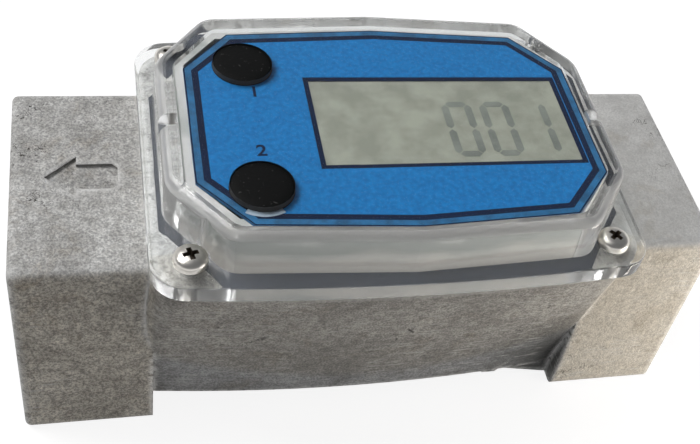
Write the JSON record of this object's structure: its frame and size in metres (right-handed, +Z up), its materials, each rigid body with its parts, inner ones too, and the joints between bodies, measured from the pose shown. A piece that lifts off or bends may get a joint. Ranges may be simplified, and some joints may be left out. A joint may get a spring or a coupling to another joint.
{
  "type": "turbine flow meter",
  "caption": "In-line turbine flow meter with a cast aluminium body, threaded square ends, a bladed rotor in the bore and a battery counter head under a clear bevelled cover.",
  "frame": {"origin": "on the ground below the middle of the body: the centre of the bounding box's bottom face", "axes": "+X along the flow axis towards the inlet port, +Z up through the display, +Y to the far side of the cover"},
  "size_m": [0.108, 0.0548, 0.0488],
  "materials": {
    "cast_aluminium": "rough sand-blasted casting",
    "support_plastic": "satin",
    "rotor_plastic": "satin",
    "magnet_nickel": "plated",
    "hard_metal": "ground",
    "ceramic": "ground",
    "spring_steel": "bright",
    "bobbin_plastic": "satin",
    "enamelled_copper": "gloss",
    "iron": "turned",
    "tinned_brass": "plated",
    "gasket_rubber": "matt",
    "clear_polycarbonate": "polished",
    "blue_label": "satin print",
    "tray_plastic": "satin",
    "bezel_black": "satin",
    "display_glass": "gloss",
    "strip_rubber": "matt",
    "board_green": "satin",
    "chip_black": "satin",
    "switch_steel": "satin",
    "button_rubber": "matt",
    "cell_steel": "bright",
    "screw_nickel": "nickel plated"
  },
  "bodies": {
    "meter_body": {"body_casting": "cast_aluminium", "outlet_support": "support_plastic", "inlet_support": "support_plastic", "rotor_shaft": "hard_metal", "thrust_washers": "ceramic", "flow_sleeve": "support_plastic", "retaining_rings": "spring_steel", "pickup_bobbin": "bobbin_plastic", "pickup_winding": "enamelled_copper", "pickup_core": "iron", "pickup_pins": "tinned_brass", "cover_gasket": "gasket_rubber", "clear_cover": "clear_polycarbonate", "face_label": "blue_label", "label_tray": "tray_plastic", "display_bezel": "bezel_black", "display_glass": "display_glass", "contact_strips": "strip_rubber", "circuit_board": "board_green", "controller_chip": "chip_black", "key_switches": "switch_steel", "coin_cells": "cell_steel", "cell_clips": "spring_steel", "cell_contacts": "tinned_brass", "cover_screws": "screw_nickel", "board_screws": "spring_steel"},
    "turbine": {"rotor": "rotor_plastic", "rotor_magnets": "magnet_nickel"},
    "upper_key": {"button_upper": "button_rubber"},
    "lower_key": {"button_lower": "button_rubber"}
  },
  "joints": [
    {"name": "rotor_spin", "type": "hinge", "parent": "meter_body", "child": "turbine", "pos_m": [0, 0, 0.0185], "axis": [1, 0, 0], "continuous": true},
    {"name": "upper_key_press", "type": "slide", "parent": "meter_body", "child": "upper_key", "axis": [0, 0, -1], "range_m": [0, 0.0005], "stiffness_N_per_m": 600, "springref_m": -0.0005},
    {"name": "lower_key_press", "type": "slide", "parent": "meter_body", "child": "lower_key", "axis": [0, 0, -1], "range_m": [0, 0.0005], "stiffness_N_per_m": 600, "springref_m": -0.0005}
  ]
}
